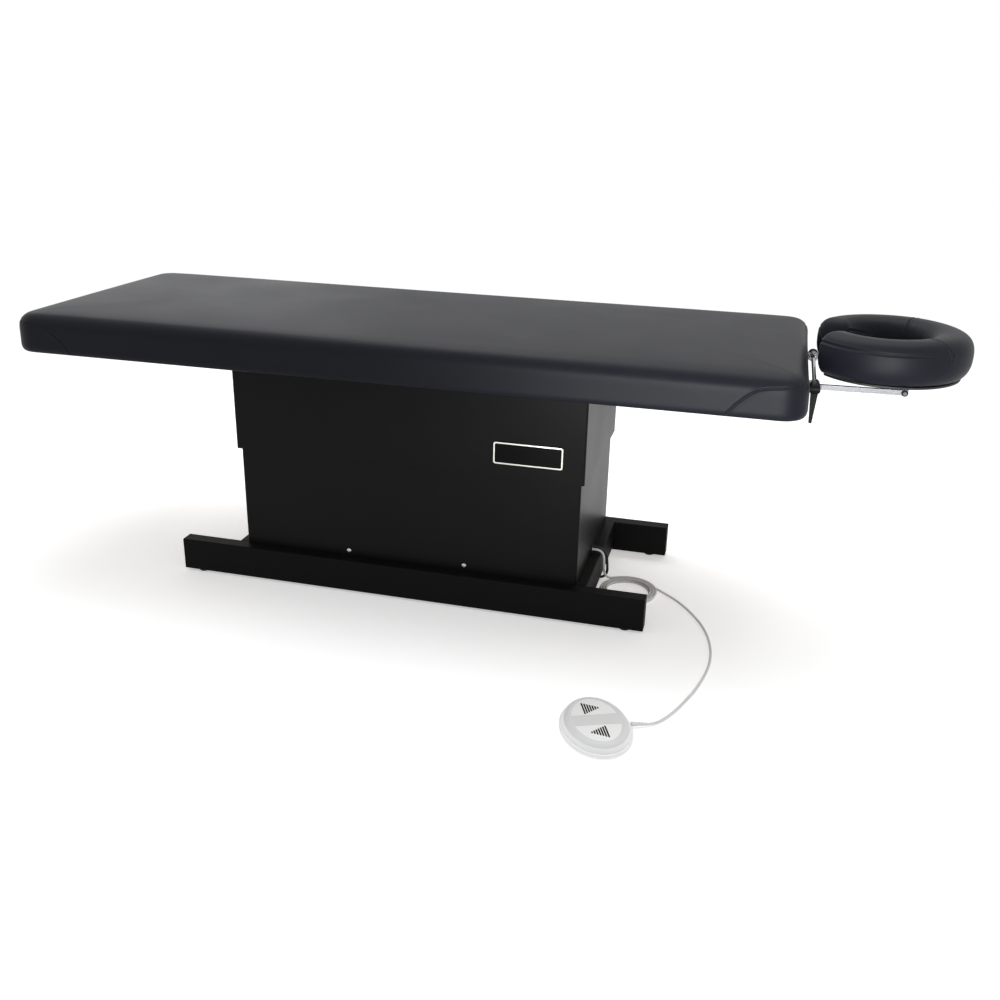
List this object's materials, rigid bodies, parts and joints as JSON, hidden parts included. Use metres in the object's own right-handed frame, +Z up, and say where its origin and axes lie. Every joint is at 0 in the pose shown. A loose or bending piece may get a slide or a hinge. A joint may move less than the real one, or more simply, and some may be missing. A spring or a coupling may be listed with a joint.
{
  "type": "massage table",
  "caption": "Electric lift massage table: padded top on a telescoping pedestal with floor rails, a tilting face rest with a cam lever, and a corded foot switch.",
  "frame": {"origin": "on the floor under the middle of the pedestal, midway between the four rubber feet, with the lift at its rest height", "axes": "+X along the table to the head end with the face rest, +Y to the far long side, +Z up"},
  "size_m": [2.198, 1.1113, 0.7153],
  "materials": {
    "frame_paint": "satin black powder coat, fine texture",
    "cover_paint": "satin black powder coat on sheet steel",
    "plate_steel": "dark painted steel",
    "plate_black": "black face with a fine pale rim",
    "screw_steel": "zinc plated",
    "bright_steel": "drawn and polished",
    "post_aluminium": "satin",
    "actuator_paint": "matt dark grey",
    "foot_rubber": "matt black",
    "grommet_rubber": "matt black",
    "glide_nylon": "natural nylon",
    "box_plastic": "textured dark grey",
    "frame_wood": "sanded softwood",
    "plywood": "birch plywood",
    "vinyl": "soft charcoal upholstery vinyl with a fine grain",
    "lever_plastic": "black moulded nylon",
    "platform_plastic": "black moulded sheet",
    "switch_white": "white moulded ABS, half gloss",
    "switch_grey": "light grey moulded ABS",
    "micro_plastic": "black",
    "cord_white": "white PVC jacket",
    "cord_black": "black PVC jacket",
    "plug_plastic": "black moulded plug"
  },
  "bodies": {
    "base": {"near_rail": "frame_paint", "far_rail": "frame_paint", "cross_tubes": "frame_paint", "rail_end_caps": "frame_paint", "rail_feet": "foot_rubber", "base_plate": "plate_steel", "lower_cover": "cover_paint", "cover_screws": "screw_steel", "cable_grommet": "grommet_rubber", "outer_columns": "plate_steel", "column_bushes": "glide_nylon", "column_base_bolts": "screw_steel", "actuator_foot_bracket": "plate_steel", "actuator_foot_pin": "screw_steel", "actuator_gearbox": "actuator_paint", "actuator_motor": "actuator_paint", "actuator_tube": "bright_steel", "control_box": "box_plastic", "switch_base": "switch_white", "switch_cover": "switch_grey", "switch_feet": "foot_rubber", "micro_switches": "micro_plastic", "switch_strain_relief": "cord_white", "switch_cable": "cord_white", "switch_cable_coil": "cord_white", "switch_cable_riser": "cord_white", "mains_strain_relief": "cord_black", "mains_cable": "cord_black", "mains_cable_coil": "cord_black", "mains_cable_tail": "cord_black", "mains_plug": "plug_plastic"},
    "top": {"upper_cover": "cover_paint", "name_plate": "plate_black", "inner_masts": "bright_steel", "mast_shoes": "glide_nylon", "mast_bolts": "screw_steel", "push_rod": "bright_steel", "actuator_head_bracket": "plate_steel", "actuator_head_pin": "screw_steel", "mount_plates": "plate_steel", "deck_tubes": "plate_steel", "deck_side_rails": "frame_wood", "deck_end_rails": "frame_wood", "deck_corner_blocks": "frame_wood", "deck_battens": "frame_wood", "deck_board": "plywood", "post_sockets": "bright_steel", "table_pad": "vinyl"},
    "face_base": {"face_posts": "post_aluminium", "cross_rod": "bright_steel", "hub_washers": "screw_steel", "rod_nut": "lever_plastic", "cam_pin": "screw_steel"},
    "face_arms": {"face_arms": "post_aluminium", "outer_axle": "bright_steel"},
    "face_platform": {"face_platform": "platform_plastic", "face_cushion": "vinyl"},
    "cam_lever": {"cam_lever": "lever_plastic"},
    "up_tread": {"up_tread": "switch_white"},
    "down_tread": {"down_tread": "switch_white"}
  },
  "joints": [
    {"name": "lift", "type": "slide", "parent": "base", "child": "top", "axis": [0, 0, 1], "range_m": [-0.051, 0.152]},
    {"name": "face_rest_slide", "type": "slide", "parent": "top", "child": "face_base", "axis": [1, 0, 0], "range_m": [0, 0.15]},
    {"name": "face_arm_tilt", "type": "hinge", "parent": "face_base", "child": "face_arms", "pos_m": [0.915, 0, 0.606], "axis": [0, -1, 0], "range_deg": [-35, 8]},
    {"name": "face_platform_tilt", "type": "hinge", "parent": "face_arms", "child": "face_platform", "pos_m": [1.098, 0, 0.609], "axis": [0, 1, 0], "range_deg": [0, 45]},
    {"name": "cam_lever_turn", "type": "hinge", "parent": "face_base", "child": "cam_lever", "pos_m": [0.915, -0.16986, 0.606], "axis": [-1, 0, 0], "range_deg": [0, 100]},
    {"name": "up_tread_press", "type": "hinge", "parent": "base", "child": "up_tread", "pos_m": [0.55551, -0.65672, 0.02], "axis": [-0.9205, -0.3907, 0], "range_deg": [0, 2.5], "stiffness_Nm_per_rad": 10, "springref_deg": -2.86},
    {"name": "down_tread_press", "type": "hinge", "parent": "base", "child": "down_tread", "pos_m": [0.56849, -0.68728, 0.02], "axis": [0.9205, 0.3907, 0], "range_deg": [0, 2.5], "stiffness_Nm_per_rad": 10, "springref_deg": -2.86}
  ]
}
